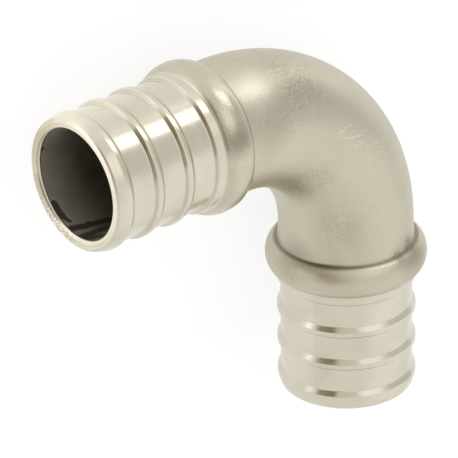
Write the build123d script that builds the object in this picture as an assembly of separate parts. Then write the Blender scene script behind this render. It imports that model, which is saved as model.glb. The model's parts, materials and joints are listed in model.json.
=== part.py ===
from build123d import *
from math import hypot
import os

# Barbed 90 degree elbow for flexible pipe, one metal casting in a single body: two insert ends
# turned with ribs and grooves, a rounded stop collar behind each, and a plain swept bend.
# Millimetres. The elbow is built with its axes crossing at the origin, one insert pointing along
# -X and the other along -Y. It is then laid down as it comes to rest, on both collars and the
# outside of the bend, with the origin under its middle and +Z up.

# bend, 42.9 from the crossing of the axes to either tip with the lengths below
bend_radius = 19.8        # of its centreline

# waterway and the metal around it
bore_d = 14.1
mouth_round = 0.5         # inner edge of each mouth
bend_wall = 1.5
insert_wall = 1.325       # under the grooves

# insert end, measured from its tip
groove_depth = 0.425      # the ribs come to 17.6 across
nose_step = 0.4           # outside of the tip, below the ribs
nose_round = 0.4
rib_count = 3
first_rib = 1.67          # tip to the middle of the first rib
rib_pitch = 4.65
rib_crest = 0.6           # length of a rib's top
rib_flank = 0.17          # length of the steep side of a rib
crest_round = 0.08
groove_round = 0.6        # left by a round-nosed tool at the foot of each side

# stop collars, as cast: the end along -Y carries the fuller one
last_land = 2.98          # middle of the last rib, which runs on as a land, to that of the collar
collar_length = 4.5
collar_rise_y = 1.15      # above the neck or the ribs, whichever are thicker
collar_rise_x = 0.8
collar_sunk = 0.3         # middle of the rounded section, below the ribs
collar_root = 0.25        # corner between a collar and the metal on either side

# necks, which swell from the bend to the middle of the collars
neck_length = 4.5
neck_rise_y = 0.55
neck_rise_x = 0.45

bore_r = bore_d / 2
groove_r = bore_r + insert_wall
rib_r = groove_r + groove_depth
nose_r = rib_r - nose_step
body_r = bore_r + bend_wall
neck_r_x = body_r + neck_rise_x
neck_r_y = body_r + neck_rise_y
collar_r_x = max(rib_r, neck_r_x) + collar_rise_x
collar_r_y = max(rib_r, neck_r_y) + collar_rise_y
collar_base = rib_r - collar_sunk
collar_at = first_rib + rib_count * rib_pitch + last_land
straight_end = collar_at + neck_length
collar_reach = bend_radius + neck_length
centre_to_end = bend_radius + straight_end
bend_middle = Vector(-bend_radius, -bend_radius, 0)


def rib_outline():
    """Corners and corner radii of the turned end, along the axis and out from it."""
    half_crest = rib_crest / 2
    corners = [
        ((0, nose_r), nose_round),
        ((first_rib - half_crest, rib_r), crest_round),
    ]
    for i in range(rib_count):
        middle = first_rib + i * rib_pitch
        following = middle + rib_pitch
        corners += [
            ((middle + half_crest, rib_r), crest_round),
            ((middle + half_crest + rib_flank, groove_r), groove_round),
            ((following - half_crest - rib_flank, groove_r), groove_round),
            ((following - half_crest, rib_r), crest_round),
        ]
    return corners


def insert_end(collar_r, neck_r):
    """One leg from its tip, at the origin, along +X to the start of the bend."""
    turned = rib_outline()
    points = [(0, 0)] + [point for point, _ in turned] + [(collar_at, rib_r), (collar_at, 0)]
    radii = [0] + [radius for _, radius in turned] + [0, 0]
    profile = make_face(FilletPolyline(*points, radius=radii, close=True))
    neck_side = TangentArc((straight_end, body_r), (collar_at, neck_r), tangent=(-1, 0))
    neck_rest = Polyline((collar_at, neck_r), (collar_at, 0), (straight_end, 0), (straight_end, body_r))
    profile += make_face(neck_side + neck_rest)
    profile += Pos(collar_at, collar_base) * Ellipse(collar_length / 2, collar_r - collar_base)
    roots = profile.edges().filter_by(GeomType.ELLIPSE).vertices().filter_by(
        lambda v: abs(v.X - collar_at) < collar_length / 2 - 1e-6
    )
    profile = fillet(roots, collar_root)
    return revolve(profile, Axis.X, 360)


def quarter_bend(radius):
    """A round bar bent through 90 degrees, from the leg along -Y to the leg along -X."""
    start = Plane((0, bend_middle.Y, 0), x_dir=(1, 0, 0), z_dir=(0, 1, 0))
    return revolve(start * Circle(radius), Axis(bend_middle, (0, 0, 1)), 90)


def leg_bore():
    """The straight part of the waterway in one leg, with its mouth at the origin."""
    return Rot(0, 90, 0) * Cylinder(
        bore_r, straight_end, align=(Align.CENTER, Align.CENTER, Align.MIN)
    )


def collar_touch(leg, collar_r, down):
    """The point of a collar that reaches furthest along down."""
    half_length, height = collar_length / 2, collar_r - collar_base
    along = down.dot(leg)
    outward = down - leg * along
    spread = hypot(half_length * along, height * outward.length)
    axial = half_length**2 * along / spread
    radial = collar_base + height**2 * outward.length / spread
    return leg * (axial + collar_reach) + outward.normalized() * radial


def bend_touch(down):
    """The point of the bend that reaches furthest along down."""
    level = Vector(down.X, down.Y, 0)
    outward = level.normalized() if level.length > 1e-9 else Vector(1, 1, 0).normalized()
    return bend_middle + outward * bend_radius + down * body_r


def resting_down():
    """The direction, in the elbow's own axes, that points straight down once it lies still."""
    down = Vector(0, 0, -1)
    for _ in range(40):
        first = collar_touch(Vector(-1, 0, 0), collar_r_x, down)
        second = collar_touch(Vector(0, -1, 0), collar_r_y, down)
        third = bend_touch(down)
        down = (second - first).cross(third - first).normalized()
        down = down if down.Z < 0 else -down
    return down


mouth_x = Location((-centre_to_end, 0, 0))
mouth_y = Location((0, -centre_to_end, 0), (0, 0, 90))

elbow = quarter_bend(body_r)
elbow += mouth_x * insert_end(collar_r_x, neck_r_x)
elbow += mouth_y * insert_end(collar_r_y, neck_r_y)
elbow -= quarter_bend(bore_r) + mouth_x * leg_bore() + mouth_y * leg_bore()

mouths = elbow.edges().filter_by(GeomType.CIRCLE).filter_by(
    lambda e: abs(e.radius - bore_r) < 1e-3
    and min((e.arc_center - m.position).length for m in (mouth_x, mouth_y)) < 1e-3
)
elbow = fillet(mouths, mouth_round)

down = resting_down()
tilt_axis = Axis((0, 0, 0), (-down).cross(Vector(0, 0, 1)))
elbow = elbow.rotate(tilt_axis, down.get_angle(Vector(0, 0, -1)))
box = elbow.bounding_box()
elbow = Pos(-box.center().X, -box.center().Y, -box.min.Z) * elbow

os.makedirs("parts", exist_ok=True)
export_step(elbow, "parts/elbow_body.step")
print("laid down at", round(down.get_angle(Vector(0, 0, -1)), 2), "degrees")
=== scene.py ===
# 90 degree elbow fitting for flexible pipe: one metal casting with two turned insert ends,
# lying on a pale table. It is modelled in millimetres in its own axes, with the legs crossing
# at the origin, and then laid down where the frame's mounts say.
import json
from math import asin, cos, hypot, pi, radians, sin, tan

import bpy
import bmesh
from mathutils import Matrix, Vector, geometry


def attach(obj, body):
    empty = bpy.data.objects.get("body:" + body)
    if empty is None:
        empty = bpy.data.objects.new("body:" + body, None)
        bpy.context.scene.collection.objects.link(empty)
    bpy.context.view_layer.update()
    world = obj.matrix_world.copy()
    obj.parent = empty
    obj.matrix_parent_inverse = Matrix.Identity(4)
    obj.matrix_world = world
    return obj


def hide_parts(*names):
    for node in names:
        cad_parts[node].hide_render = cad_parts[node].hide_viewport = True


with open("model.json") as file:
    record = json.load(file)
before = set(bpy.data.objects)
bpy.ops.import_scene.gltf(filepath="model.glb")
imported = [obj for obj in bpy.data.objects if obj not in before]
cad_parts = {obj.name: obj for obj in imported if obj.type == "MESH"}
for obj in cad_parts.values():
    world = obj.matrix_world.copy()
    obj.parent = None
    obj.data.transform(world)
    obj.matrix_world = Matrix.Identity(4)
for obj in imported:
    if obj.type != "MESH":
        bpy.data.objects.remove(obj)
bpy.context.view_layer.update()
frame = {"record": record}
print("frame loaded")

mm = 0.001
noiseMiddle = 0.5                # what a noise node gives on average


def addObject(name, data):
    made = bpy.data.objects.new(name, data)
    bpy.context.scene.collection.objects.link(made)
    return made


def towards(bearing):
    # unit vector to a bearing and a height in degrees, where bearing 0 is +Y and 90 is +X
    azimuth, height = (radians(angle) for angle in bearing)
    return Vector((sin(azimuth) * cos(height), cos(azimuth) * cos(height), sin(height)))


def standAt(bearing, distance, aim=(0, 0, 0), roll=0):
    # the camera or a lamp stands that way and that far in millimetres from its aim, and looks back
    away = towards(bearing)
    turn = away.to_track_quat("Z", "Y").to_matrix().to_4x4() @ Matrix.Rotation(radians(roll), 4, "Z")
    return Matrix.Translation((Vector(aim) + away * distance) * mm) @ turn


cameraValues = {
    "aim": (-0.93, 0.88, 9.08),  # mm, the point in the middle of the view
    "bearing": (318.882, 42.006),
    "distance": 636.5,           # mm
    "roll": 131.415,             # the elbow lies down, and is seen as if it stood on one end
    "lens": 403.96,
    "sensor": 36,
    "reach": 20,                 # m, the farthest it sees
}


def addCamera(values):
    data = bpy.data.cameras.new("camera")
    data.sensor_width = values["sensor"]
    data.lens = values["lens"]
    data.clip_end = values["reach"]
    cam = addObject("camera", data)
    cam.matrix_world = standAt(values["bearing"], values["distance"], values["aim"], values["roll"])
    bpy.context.scene.camera = cam


addCamera(cameraValues)
print("camera placed")


class Wire:
    # a socket of a node, so that shader maths can be written as an expression
    def __init__(self, shader, socket):
        self.shader = shader
        self.socket = socket

    def __getitem__(self, output):
        return Wire(self.shader, self.socket.node.outputs[output])

    def maths(self, operation, first, second=0.0):
        return self.shader.node("ShaderNodeMath", {"operation": operation}, {0: first, 1: second})

    def __add__(self, other):
        return self.maths("ADD", self, other)

    def __sub__(self, other):
        return self.maths("SUBTRACT", self, other)

    def __rsub__(self, other):
        return self.maths("SUBTRACT", other, self)

    def __mul__(self, other):
        return self.maths("MULTIPLY", self, other)

    def __abs__(self):
        return self.maths("ABSOLUTE", self)

    __radd__ = __add__
    __rmul__ = __mul__


class Shader:
    # the nodes of a material or of the world, where the method called node adds any of them
    def __init__(self, owner):
        owner.use_nodes = True
        self.tree = owner.node_tree
        self.tree.nodes.clear()

    def node(self, kind, settings=None, sockets=None):
        new = self.tree.nodes.new(kind)
        for name, value in (settings or {}).items():
            setattr(new, name, value)
        for name, value in (sockets or {}).items():
            if isinstance(value, Wire):
                self.tree.links.new(value.socket, new.inputs[name])
            else:
                new.inputs[name].default_value = value
        outputs = [o for o in new.outputs if o.enabled]
        return Wire(self, outputs[0]) if outputs else None

    def vector(self, operation, first, second):
        # vector maths whose answer is a vector
        other = "Scale" if operation == "SCALE" else 1
        return self.node("ShaderNodeVectorMath", {"operation": operation}, {0: first, other: second})

    def measure(self, operation, first, second):
        # vector maths whose answer is a number
        return self.vector(operation, first, second)["Value"]

    def clamp(self, value, low, high, toLow=0.0, toHigh=1.0, smooth=True):
        # a ramp: toLow up to low and toHigh from high on
        kind = "SMOOTHSTEP" if smooth else "LINEAR"
        return self.node(
            "ShaderNodeMapRange", {"interpolation_type": kind},
            {"Value": value, "From Min": low, "From Max": high, "To Min": toLow, "To Max": toHigh})

    def unit(self, value):
        # held between 0 and 1
        return self.clamp(value, 0.0, 1.0, smooth=False)

    def noise(self, place, values):
        return self.node("ShaderNodeTexNoise", None, {"Vector": place, **values})

    def noiseAlong(self, distance, values):
        # the same all round an axis
        return self.node("ShaderNodeTexNoise", {"noise_dimensions": "1D"}, {"W": distance, **values})

    def place(self):
        return self.node("ShaderNodeTexCoord")["Object"]

    def attribute(self, name):
        return self.node("ShaderNodeAttribute", {"attribute_name": name})["Fac"]

    def mixColour(self, factor, first, second):
        mix = self.node("ShaderNodeMix", {"data_type": "RGBA"}, {"Factor": factor})
        for name, value in (("A", first), ("B", second)):
            socket = [i for i in mix.socket.node.inputs if i.name == name and i.type == "RGBA"][0]
            if isinstance(value, Wire):
                self.tree.links.new(value.socket, socket)
            else:
                socket.default_value = value
        return Wire(self, [o for o in mix.socket.node.outputs if o.type == "RGBA"][0])


def grey(level):
    return (level, level, level, 1)


lightValues = {
    "surround": 0.86,            # level of the studio all round
    # round patches of the studio: where, full within and gone beyond so many degrees, how much
    # brighter or darker, and how much of the warmth they take
    "patches": {
        "doorway": {"bearing": (307, 10), "full": 15, "ends": 18, "amount": -0.52, "warm": 1.0},
        "ceiling": {"bearing": (318, 36), "full": 18, "ends": 27, "amount": -0.1, "warm": 0.35},
        "shelf": {"bearing": (282, 34), "full": 14, "ends": 22, "amount": -0.38, "warm": 0.7},
        "skylight": {"bearing": (10, 44), "full": 14, "ends": 24, "amount": 0.3, "warm": 0.0},
        "dimWall": {"bearing": (70, 20), "full": 27, "ends": 31, "amount": -0.18, "warm": 0.0},
        "paleWall": {"bearing": (122, 44), "full": 8, "ends": 50, "amount": 0.13, "warm": 0.0},
    },
    "warmth": (1.0, 0.84, 0.6, 1),
    # lamps: where, how far off and how large in millimetres, and the level of the lit face
    "lamps": {
        "key": {"bearing": (27, 7), "distance": 450, "size": (270, 180), "level": 1.15},
    },
}


def addWorld(values):
    world = bpy.data.worlds.new("studio")
    bpy.context.scene.world = world
    s = Shader(world)
    direction = s.node("ShaderNodeTexCoord")["Generated"]
    level = values["surround"]
    warm = 0.0
    for patch in values["patches"].values():
        facing = s.measure("DOT_PRODUCT", direction, towards(patch["bearing"]))
        within = s.clamp(facing, cos(radians(patch["ends"])), cos(radians(patch["full"])))
        level += within * patch["amount"]
        warm += within * patch["warm"]
    seen = s.node("ShaderNodeLightPath")["Is Camera Ray"]
    background = s.node("ShaderNodeBackground", None, {
        "Color": s.mixColour(s.unit(warm) * (1 - seen), grey(1), values["warmth"]),
        "Strength": seen + (1 - seen) * level})
    s.node("ShaderNodeOutputWorld", None, {"Surface": background})


def addLamp(name, values):
    data = bpy.data.lights.new(name, "AREA")
    data.shape = "RECTANGLE"
    data.size, data.size_y = (side * mm for side in values["size"])
    data.energy = values["level"] * pi * data.size * data.size_y
    addObject(name, data).matrix_world = standAt(values["bearing"], values["distance"])


tableValues = {
    "size": 6.0,                 # m
    "colour": 0.85,
    "shownColour": 0.26,         # what takes the shadow that is seen
    "shownGlow": 0.81,           # what keeps it white around the shadow
    "lostInMetal": 0.09,         # the elbow mirrors it a little darker
    # painted pools of light on the table, seen only where the elbow mirrors it: the middle and the radius
    # in millimetres
    "pools": {
        "key": {"at": (52, 67), "radius": 55, "amount": 0.55},
        "near": {"at": (-52, 26), "radius": 50, "amount": 0.8},
    },
}


def tablePaint(values):
    material = bpy.data.materials.new("paleTable")
    s = Shader(material)
    path = s.node("ShaderNodeLightPath")
    shown = s.node("ShaderNodeMath", {"operation": "ADD", "use_clamp": True},
                   {0: path["Is Camera Ray"] + path["Is Glossy Ray"], 1: path["Is Transmission Ray"]})
    plain = s.node("ShaderNodeBsdfDiffuse", None, {"Color": grey(values["colour"])})
    shade = s.node("ShaderNodeBsdfDiffuse", None, {"Color": grey(values["shownColour"])})
    place = s.place()
    lit = -values["lostInMetal"]
    # painted pools of light, only for mirrored rays
    for pool in values["pools"].values():
        apart = s.measure("DISTANCE", place, (pool["at"][0] * mm, pool["at"][1] * mm, 0))
        lit += s.clamp(apart, 0.0, pool["radius"] * mm, pool["amount"], 0.0)
    strength = lit * path["Is Glossy Ray"] + values["shownGlow"]
    glow = s.node("ShaderNodeEmission", None, {"Color": grey(1), "Strength": strength})
    white = s.node("ShaderNodeAddShader", None, {0: shade, 1: glow})
    surface = s.node("ShaderNodeMixShader", None, {0: shown, 1: plain, 2: white})
    s.node("ShaderNodeOutputMaterial", None, {"Surface": surface})
    return material


def addTable(values):
    bm = bmesh.new()
    bmesh.ops.create_grid(bm, x_segments=1, y_segments=1, size=values["size"] / 2)
    mesh = bpy.data.meshes.new("table")
    bm.to_mesh(mesh)
    bm.free()
    mesh.materials.append(tablePaint(values))
    addObject("table", mesh)


addWorld(lightValues)
for lampName, lampValues in lightValues["lamps"].items():
    addLamp(lampName, lampValues)
addTable(tableValues)
print("light and table added")


# lengths in millimetres
elbowValues = {
    "bendRadius": 19.8,          # of its centreline
    "boreRadius": 7.05,
    "bodyRadius": 8.55,
    "mouthRound": 0.5,
    "noseRadius": 8.4,
    "noseRound": 0.4,
    "ribRadius": 8.8,
    "grooveRadius": 8.375,
    "ribCount": 3,
    "firstRib": 1.67,            # tip to the middle of the first rib
    "ribPitch": 4.65,
    "ribCrest": 0.6,
    "ribBack": 0.6,              # length of the side that faces the collar
    "ribFront": 0.35,
    "crestRound": 0.06,
    "grooveRound": 0.2,
    "lastLand": 2.98,            # half a crest inside the land's start, to the collar's middle
    "collarLength": 4.5,
    "collarBase": 8.5,           # middle of the collar's rounded section
    "collarRoot": 0.25,
    "neckLength": 4.5,           # middle of the collar to the start of the bend
    "legX": {"collarRadius": 9.8, "neckRise": 0.45},
    "legY": {"collarRadius": 10.25, "neckRise": 0.55},
    "turnedPast": 0.15,          # the tool went this far up the side of the collar
    "around": 192,               # faces round a leg
    "bendSteps": 56,
    "collarSteps": 22,
    "neckSteps": 8,
    "tipSteps": 5,
    "footSteps": 4,
    "rootSteps": 3,
    "crestSteps": 2,
    "atSeam": 0.0001,            # how near a leg's open edge is to where the bend starts
    "merged": 0.002,             # points of the bend and the legs that are one
    "close": 0.02,               # how near a face of the bore is to its radius
    "shadingWeight": 50,
}


def legLengths(v):
    # from the tip to the middle of the collar, to the start of the bend and to the crossing
    collarAt = v["firstRib"] + v["ribCount"] * v["ribPitch"] + v["lastLand"]
    straight = collarAt + v["neckLength"]
    return collarAt, straight, straight + v["bendRadius"]


def neckRadius(v, leg, along):
    # an arc that leaves the bend straight and rises to the middle of the collar
    straight = legLengths(v)[1]
    rise = v[leg]["neckRise"]
    radius = (v["neckLength"] ** 2 + rise ** 2) / (2 * rise)
    return v["bodyRadius"] + radius - (radius ** 2 - (straight - along) ** 2) ** 0.5


def collarRun(v, leg):
    # half an ellipse, from where it leaves the last land to where it meets the neck
    collarAt = legLengths(v)[0]
    height = v[leg]["collarRadius"] - v["collarBase"]
    half = v["collarLength"] / 2
    start = asin((v["ribRadius"] - v["collarBase"]) / height)
    end = asin((neckRadius(v, leg, collarAt + half) - v["collarBase"]) / height)
    steps = v["collarSteps"]
    turns = [pi - start - (pi - start - end) * i / steps for i in range(steps + 1)]
    return [(collarAt + half * cos(t), v["collarBase"] + height * sin(t)) for t in turns]


def addRun(bm, points, after=None):
    # a chain of edges in the plane of the leg's axis, along X and out along Z
    made = []
    for along, out in points:
        vert = bm.verts.new((along, 0, out))
        if after:
            bm.edges.new((after, vert))
        made.append(vert)
        after = vert
    return made


def roundOff(bm, verts, radius, steps):
    # each corner gets the cut-back that its own angle needs for that radius
    for vert in verts:
        a, b = (e.other_vert(vert).co - vert.co for e in vert.link_edges)
        cutBack = radius * tan((pi - a.angle(b)) / 2)
        bmesh.ops.bevel(bm, geom=[vert], offset=cutBack, offset_type="OFFSET", segments=steps,
                        profile=0.5, affect="VERTICES", material=-1, clamp_overlap=False)


def spinLeg(bm, v, leg):
    # one leg along +X with its tip at the origin, from the bore round the tip to the bend
    straight = legLengths(v)[1]
    halfCrest = v["ribCrest"] / 2
    _, mouth, nose, firstCrest = addRun(bm, [
        (straight, v["boreRadius"]), (0, v["boreRadius"]), (0, v["noseRadius"]),
        (v["firstRib"] - halfCrest, v["ribRadius"])])
    crests, feet, last = [firstCrest], [], firstCrest
    for i in range(v["ribCount"]):
        middle = v["firstRib"] + i * v["ribPitch"]
        following = middle + v["ribPitch"]
        off, foot, nextFoot, last = addRun(bm, [
            (middle + halfCrest, v["ribRadius"]),
            (middle + halfCrest + v["ribBack"], v["grooveRadius"]),
            (following - halfCrest - v["ribFront"], v["grooveRadius"]),
            (following - halfCrest, v["ribRadius"])], last)
        crests += [off, last]
        feet += [foot, nextFoot]
    collar = addRun(bm, collarRun(v, leg), last)
    neckStart = collar[-1].co.x
    steps = v["neckSteps"]
    neck = [neckStart + (straight - neckStart) * (i + 1) / steps for i in range(steps)]
    addRun(bm, [(along, neckRadius(v, leg, along)) for along in neck], collar[-1])
    roundOff(bm, [mouth], v["mouthRound"], v["tipSteps"])
    roundOff(bm, [nose], v["noseRound"], v["tipSteps"])
    roundOff(bm, crests, v["crestRound"], v["crestSteps"])
    roundOff(bm, feet, v["grooveRound"], v["footSteps"])
    roundOff(bm, [collar[0], collar[-1]], v["collarRoot"], v["rootSteps"])
    bmesh.ops.spin(bm, geom=bm.verts[:] + bm.edges[:], cent=(0, 0, 0), axis=(1, 0, 0), dvec=(0, 0, 0),
                   angle=2 * pi, steps=v["around"], use_merge=True)


def addLeg(whole, v, leg, place):
    # each point remembers how far it is from the tip and from the axis, for the materials
    part = bmesh.new()
    tipLayer, axisLayer = (part.verts.layers.float.new(name) for name in ("fromTip", "fromAxis"))
    spinLeg(part, v, leg)
    for vert in part.verts:
        vert[tipLayer] = vert.co.x
        vert[axisLayer] = hypot(vert.co.y, vert.co.z)
    bmesh.ops.transform(part, matrix=place, verts=part.verts[:])
    mesh = bpy.data.meshes.new(leg)
    part.to_mesh(mesh)
    part.free()
    whole.from_mesh(mesh)
    bpy.data.meshes.remove(mesh)


def addBend(whole, v, middle):
    # the open end of leg Y is swept round to the one of leg X
    start = [edge for edge in whole.edges
             if all(abs(p.co.y - middle.y) < v["atSeam"] and p.co.x > middle.x for p in edge.verts)]
    bmesh.ops.spin(whole, geom=start, cent=middle, axis=(0, 0, 1), dvec=(0, 0, 0), angle=pi / 2,
                   steps=v["bendSteps"], use_merge=False)
    bmesh.ops.remove_doubles(whole, verts=whole.verts[:], dist=v["merged"])
    bmesh.ops.recalc_face_normals(whole, faces=whole.faces[:])
    layer = whole.verts.layers.float["fromTip"]
    for vert in whole.verts:
        if vert.co.x > middle.x and vert.co.y > middle.y:
            vert[layer] = legLengths(v)[1]


finishes = ("castMetal", "turnedMetal", "boreMetal")     # of the outside, the ends and the bore


def giveFinishes(whole, v, middle):
    collarAt, _, reach = legLengths(v)
    turnedTo = collarAt - v["collarLength"] / 2 + v["turnedPast"]
    for face in whole.faces:
        face.smooth = True
        centre = face.calc_center_median()
        tip = reach + min(centre.x, centre.y)
        if centre.x > middle.x and centre.y > middle.y:
            away = hypot((centre.xy - middle.xy).length - v["bendRadius"], centre.z)
        else:
            away = hypot(max(centre.x, centre.y), centre.z)
        finish = "turnedMetal" if tip < turnedTo else "castMetal"
        if away < v["boreRadius"] + v["close"] and tip > v["mouthRound"]:
            finish = "boreMetal"
        face.material_index = finishes.index(finish)


def layDown():
    # own axes in millimetres to the frame in metres, from the two pipe mounts
    ports = {m["name"]: m for m in frame["record"]["mounts"]}
    alongX, alongY = (Vector(ports[name]["axis"]) for name in ("pipe_insert_x", "pipe_insert_y"))
    onX, onY = (Vector(ports[name]["pos_m"]) for name in ("pipe_insert_x", "pipe_insert_y"))
    nearest = geometry.intersect_line_line(onX, onX + alongX, onY, onY + alongY)
    crossing = (nearest[0] + nearest[1]) / 2
    x = -alongX.normalized()
    z = x.cross(-alongY).normalized()
    turn = Matrix((x, z.cross(x), z)).transposed().to_4x4()
    return Matrix.Translation(crossing) @ turn @ Matrix.Scale(mm, 4)


def makeElbow(v):
    reach = legLengths(v)[2]
    middle = Vector((-v["bendRadius"], -v["bendRadius"], 0))
    whole = bmesh.new()
    for name in ("fromTip", "fromAxis"):
        whole.verts.layers.float.new(name)
    addLeg(whole, v, "legX", Matrix.Translation((-reach, 0, 0)))
    addLeg(whole, v, "legY", Matrix.Translation((0, -reach, 0)) @ Matrix.Rotation(pi / 2, 4, "Z"))
    addBend(whole, v, middle)
    giveFinishes(whole, v, middle)
    bmesh.ops.transform(whole, matrix=layDown(), verts=whole.verts[:])
    mesh = bpy.data.meshes.new("elbow")
    whole.to_mesh(mesh)
    triangles = sum(len(face.verts) - 2 for face in whole.faces)
    openEdges = sum(1 for edge in whole.edges if not edge.is_manifold)
    print("elbow shaped,", triangles, "triangles,", openEdges, "open edges")
    whole.free()
    piece = addObject("elbow", mesh)
    piece.modifiers.new("evenShading", "WEIGHTED_NORMAL").weight = v["shadingWeight"]
    return piece


def ownPoint(point):
    # a place on the elbow, from its own axes in millimetres to the frame
    return layDown() @ Vector(point)


def spot(s, place, at, radius, amount=1.0):
    # the amount at a place on the elbow, fading to 0 at the radius
    return s.clamp(s.measure("DISTANCE", place, ownPoint(at)), 0.0, radius * mm, amount, 0.0)


def smear(s, place, start, end, width, amount=1.0):
    # the amount along a line on the elbow, fading to 0 at that width to each side
    first = ownPoint(start)
    run = ownPoint(end) - first
    off = s.vector("SUBTRACT", place, first)
    passed = s.clamp(s.measure("DOT_PRODUCT", off, run), 0.0, run.length_squared, smooth=False)
    apart = s.measure("DISTANCE", off, s.vector("SCALE", run, passed))
    return s.clamp(apart, 0.0, width * mm, amount, 0.0)


def ring(s, distance, at, half, amount):
    # the amount where a distance has that value, fading to 0 half a ring's width away
    return s.clamp(abs(distance - at), 0.0, half, amount, 0.0)


# places are in the elbow's own axes and, as all lengths, in millimetres, and noise scales are
# per metre; a ramp is (low, high) or (low, high, value up to low, value from high on)
castValues = {
    "colour": (0.63, 0.588, 0.463, 1),
    "dull": (0.36, 0.325, 0.25, 1),      # where the blasting left it darker, and the colour of the painted shade
    "bright": (0.8, 0.76, 0.64, 1),      # where it is scuffed, and the painted highlight on the bend
    "cloud": {"Scale": 170, "Detail": 5.0, "Roughness": 0.6},
    "speck": {"Scale": 3060, "Detail": 4.0, "Roughness": 0.7},
    "grain": {"Scale": 4200, "Detail": 3.0, "Roughness": 0.6},
    "dents": {"Scale": 520, "Detail": 2.0},
    "pits": {"Scale": 3360},
    "grainDepth": 0.014,
    "dentDepth": 0.03,
    "pitShare": 0.5,             # of the grain's depth
    "cloudDull": (0.3, 0.75, 0.0, 0.12),
    "grainDull": 0.9,
    "speckShare": 0.65,          # of a mottled patch, where the rest is cloud
    "mottle": (0.38, 0.62, 0.0, 1.6),
    # darker places, even and mottled; those named shade are painted shade, the rest are the metal's own
    # stains and marks
    "darker": {
        # painted shade at the inner side of the neck of leg Y
        "creaseInner": {"at": (-8.6, -22.4, 0.8), "radius": 4.2, "amount": 0.7},
        "browned": {"at": (-18.7, 2.4, 8.2), "radius": 5.0, "amount": 0.36},
        # painted shade on top of the collar of leg X
        "collarTop": {"at": (-24.9, 3.3, 9.2), "radius": 3.0, "amount": 1.1},
        # painted shade on the upper side of the neck of leg Y
        "creaseTop": {"at": (3.4, -22.6, 8.9), "radius": 4.6, "amount": 0.55},
    },
    "mottled": {
        "stain": {"at": (-12.6, 5.6, 5.3), "radius": 7.6, "amount": 0.45},
        # painted shade in the inner bend
        "innerBend": {"at": (-12.0, -8.8, 5.9), "radius": 5.5, "amount": 0.5},
        "nick": {"at": (0.9, -22.0, 9.0), "radius": 1.2, "amount": 1.3},
        "flash": {"at": (3.6, -21.5, 8.2), "radius": 1.5, "amount": 1.0},
        "haze": {"at": (-6.5, -16.2, 6.8), "radius": 6.0, "amount": 0.22},
    },
    # painted shade where each collar meets its neck, so far from the tip
    "crease": {"at": 20.8, "half": 0.28, "amount": 0.8},
    "creaseColour": (0.2, 0.17, 0.11, 1),
    # a painted highlight on the bend, mottled
    "rubbed": {"at": (-19.2, 6.7, 5.4), "radius": 4.6, "amount": 0.55},
    "rubbedRamp": (0.8, 1.2, 0.5, 1.0),
    # short scratches on the bend: where, which way they run and how many times longer than wide
    "scuff": {"start": (-7.2, -1.8, 8.3), "end": (-1.2, -6.4, 8.0), "width": 1.9},
    "scratch": {"Scale": 2600, "Detail": 2.0},
    "scratchAlong": (0.95, -0.27, -0.14),
    "scratchStretch": 5.0,
    "scratchRamp": (0.52, 0.64, 0.0, 0.6),
    "roughness": 0.32,
    "collarRoughness": 0.22,     # the collars are rubbed brighter, the one on leg X most
    "cloudRoughness": 0.06,
    "dullerOnY": 0.13,
    "body": (20.6, 21.3),        # from the tip, where the collar ends and the body starts
    "nearY": {"at": (0, -24.3, 0), "radius": 24},
    "nearYRamp": (0.5, 0.58),
}


def castMetal(name, v):
    material = bpy.data.materials.new(name)
    s = Shader(material)
    place = s.place()
    along = s.attribute("fromTip")
    cloud, speck, grain, dents = (s.noise(place, v[kind]) for kind in ("cloud", "speck", "grain", "dents"))
    pits = s.node("ShaderNodeTexVoronoi", None, {"Vector": place, **v["pits"]})["Distance"]

    # how dark it is from the blasting, with the painted shade of some patches added
    dull = s.clamp(cloud, *v["cloudDull"]) + (grain - noiseMiddle) * v["grainDull"]
    for patch in v["darker"].values():
        dull += spot(s, place, **patch)
    mottle = s.clamp(speck * v["speckShare"] + cloud * (1 - v["speckShare"]), *v["mottle"])
    for patch in v["mottled"].values():
        dull += spot(s, place, **patch) * mottle
    metal = s.mixColour(s.unit(dull), v["colour"], v["dull"])

    way = (ownPoint(v["scratchAlong"]) - ownPoint((0, 0, 0))).normalized()
    passed = s.measure("DOT_PRODUCT", place, way) * (1 - 1 / v["scratchStretch"])
    squeezed = s.vector("SUBTRACT", place, s.vector("SCALE", way, passed))
    scratch = s.clamp(s.noise(squeezed, v["scratch"]), *v["scratchRamp"])
    brighter = smear(s, place, **v["scuff"]) * scratch
    # painted highlight on the bend
    brighter += spot(s, place, **v["rubbed"]) * s.clamp(cloud + speck, *v["rubbedRamp"])
    metal = s.mixColour(brighter, metal, v["bright"])
    # painted shade in the crease where each collar meets its neck
    metal = s.mixColour(ring(s, along, **v["crease"]), metal, v["creaseColour"])

    onBody = s.clamp(along, *v["body"])
    onY = s.clamp(spot(s, place, **v["nearY"]), *v["nearYRamp"])
    rough = onBody * (v["roughness"] - v["collarRoughness"]) + v["collarRoughness"]
    rough += cloud * v["cloudRoughness"] + onY * (1 - onBody) * v["dullerOnY"]
    height = grain + pits * v["pitShare"] + dents * (v["dentDepth"] / v["grainDepth"])
    relief = s.node("ShaderNodeBump", None, {
        "Strength": 1.0, "Distance": v["grainDepth"] * mm, "Height": height})
    skin = s.node("ShaderNodeBsdfPrincipled", None, {
        "Base Color": metal, "Metallic": 1.0, "Roughness": rough, "Normal": relief})
    s.node("ShaderNodeOutputMaterial", None, {"Surface": skin})
    return material


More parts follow.
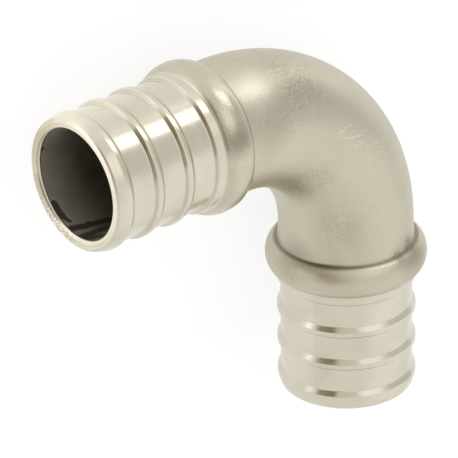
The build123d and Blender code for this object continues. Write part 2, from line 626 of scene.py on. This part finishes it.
turnedValues = {
    "colour": (0.72, 0.675, 0.555, 1),
    # the colour of stains and wear, and of the painted shade on the rib sides
    "stain": (0.43, 0.385, 0.29, 1),
    "bare": (0.95, 0.92, 0.82, 1),       # the bright metal in a fresh scratch, painted lighter as its glint too
    # lathe marks, with noise scales per millimetre
    "rings": {"Scale": 9.0, "Detail": 3.0},
    "broadRings": {"Scale": 1.0, "Detail": 2.0},
    "ringDepth": 0.0012,
    "haze": {"Scale": 220, "Detail": 4.0},
    "hazeShare": 0.6,            # of the wear, where the rest is rings
    "wear": (0.45, 0.62, 0.0, 0.16),
    "broadShare": 0.5,           # of the roughness, where the rest is haze
    "roughness": (0.3, 0.7, 0.13, 0.25),
    # painted shade at the rib sides that face the tip, from the second rib on
    "dirtyEdge": {"first": 5.8, "half": 0.16, "amount": 0.4},
    "dirtyFrom": (3.0, 4.0),
    # the flat face of the tip: how far from the tip, a line on it, and a duller part
    "rim": (0.05, 0.3, 1.0, 0.0),
    "rimLine": {"at": 7.72, "half": 0.16, "amount": 0.35},
    "rimDull": {"at": (-42.9, -1.0, -7.9), "radius": 16.0, "amount": 2.1},
    # scratched part of the rim of leg X, with darker flecks and bare flecks that are painted glints too
    "scratches": {"at": (-42.9, -6.6, -3.4), "radius": 7.0},
    "flecks": {"Scale": 4200, "Detail": 3.0, "Roughness": 0.7},
    "darkFlecks": (0.4, 0.5, 0.5, 0.0),
    "bareFlecks": (0.52, 0.6, 0.0, 0.8),
}


def turnedMetal(name, v, pitch):
    material = bpy.data.materials.new(name)
    s = Shader(material)
    place = s.place()
    along = s.attribute("fromTip")
    rings, broad = (s.noiseAlong(along, v[kind]) for kind in ("rings", "broadRings"))
    haze, flecks = (s.noise(place, v[kind]) for kind in ("haze", "flecks"))

    wornAndShaded = s.clamp(haze * v["hazeShare"] + rings * (1 - v["hazeShare"]), *v["wear"])
    # painted shade on the rib sides that face the tip
    edge = v["dirtyEdge"]
    fromEdge = s.node("ShaderNodeMath", {"operation": "PINGPONG"}, {0: along - edge["first"], 1: pitch / 2})
    wornAndShaded += s.clamp(fromEdge, 0.0, edge["half"], edge["amount"], 0.0) * s.clamp(along, *v["dirtyFrom"])
    onRim = s.clamp(along, *v["rim"])
    dulled = spot(s, place, **v["rimDull"]) * haze
    wornAndShaded += (ring(s, s.attribute("fromAxis"), **v["rimLine"]) + dulled) * onRim
    scratched = spot(s, place, **v["scratches"]) * onRim
    wornAndShaded += scratched * s.clamp(flecks, *v["darkFlecks"])
    # bare flecks, painted bright as glints
    bare = scratched * s.clamp(flecks, *v["bareFlecks"])

    uneven = haze * (1 - v["broadShare"]) + broad * v["broadShare"]
    rough = s.clamp(uneven, *v["roughness"], smooth=False)
    relief = s.node("ShaderNodeBump", None, {
        "Strength": 1.0, "Distance": v["ringDepth"] * mm, "Height": rings})
    skin = s.node("ShaderNodeBsdfPrincipled", None, {
        "Base Color": s.mixColour(bare, s.mixColour(wornAndShaded, v["colour"], v["stain"]), v["bare"]),
        "Metallic": 1.0, "Roughness": rough, "Normal": relief})
    s.node("ShaderNodeOutputMaterial", None, {"Surface": skin})
    return material


boreValues = {
    "colour": (0.68, 0.635, 0.55, 1),
    # the colour of the painted shade deep in the bore
    "streak": (0.25, 0.225, 0.18, 1),
    "streaked": (1.0, 8.0, 0.0, 0.85),   # painted shade, from the tip inwards
    "haze": {"Scale": 260, "Detail": 4.0},
    "hazeStreak": 0.8,
    "roughness": 0.55,
    "grease": (0.13, 0.115, 0.09, 1),
    # grease inside the mouth of leg X
    "dirt": {
        "smear": {"start": (-42.2, -4.8, -5.1), "end": (-42.0, -6.0, -3.6), "width": 0.85, "amount": 1.0},
        "tail": {"start": (-42.0, -6.0, -3.6), "end": (-41.5, -6.5, -2.8), "width": 0.45, "amount": 0.8},
        "band": {"start": (-42.3, -6.9, -1.7), "end": (-37.3, -7.0, -0.8), "width": 0.85, "amount": 0.9},
        "streak": {"start": (-42.3, -7.0, 0.5), "end": (-38.6, -7.0, 0.5), "width": 0.7, "amount": 0.6},
        "foot": {"start": (-42.6, -6.9, 1.4), "end": (-41.0, -6.5, 2.7), "width": 1.5, "amount": 0.8},
        "film": {"start": (-42.0, -7.0, 0.6), "end": (-37.5, -7.0, 0.8), "width": 2.6, "amount": 0.4},
        "dot": {"start": (-42.3, 2.0, -6.8), "end": (-42.2, 2.1, -6.75), "width": 0.32, "amount": 1.3},
    },
    "greased": (0.1, 0.6, 0.0, 0.92),
    "wander": {"Scale": 1100, "Detail": 3.0},
    "wanders": 0.7,              # mm, how far the edges of the grease wander in all
}


def boreMetal(name, v):
    material = bpy.data.materials.new(name)
    s = Shader(material)
    place = s.place()
    haze = s.noise(place, v["haze"])
    wander = s.vector("SUBTRACT", s.noise(place, v["wander"])["Color"], (noiseMiddle,) * 3)
    ragged = s.vector("ADD", s.vector("SCALE", wander, v["wanders"] * mm), place)
    greased = 0.0
    for dirt in v["dirt"].values():
        greased += smear(s, ragged, **dirt)
    # painted shade deeper in the bore, broken up by haze
    streaked = s.clamp(s.attribute("fromTip"), *v["streaked"]) + (haze - noiseMiddle) * v["hazeStreak"]
    metal = s.mixColour(s.unit(streaked), v["colour"], v["streak"])
    skin = s.node("ShaderNodeBsdfPrincipled", None, {
        "Base Color": s.mixColour(s.clamp(greased, *v["greased"]), metal, v["grease"]),
        "Metallic": 1.0,
        "Roughness": v["roughness"]})
    s.node("ShaderNodeOutputMaterial", None, {"Surface": skin})
    return material


piece = makeElbow(elbowValues)
metals = {
    "castMetal": castMetal("castMetal", castValues),
    "turnedMetal": turnedMetal("turnedMetal", turnedValues, elbowValues["ribPitch"]),
    "boreMetal": boreMetal("boreMetal", boreValues),
}
for finish in finishes:
    piece.data.materials.append(metals[finish])
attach(piece, "root")
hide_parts("elbow_body")
print("elbow made")

bpy.context.scene.view_settings.view_transform = "Standard"
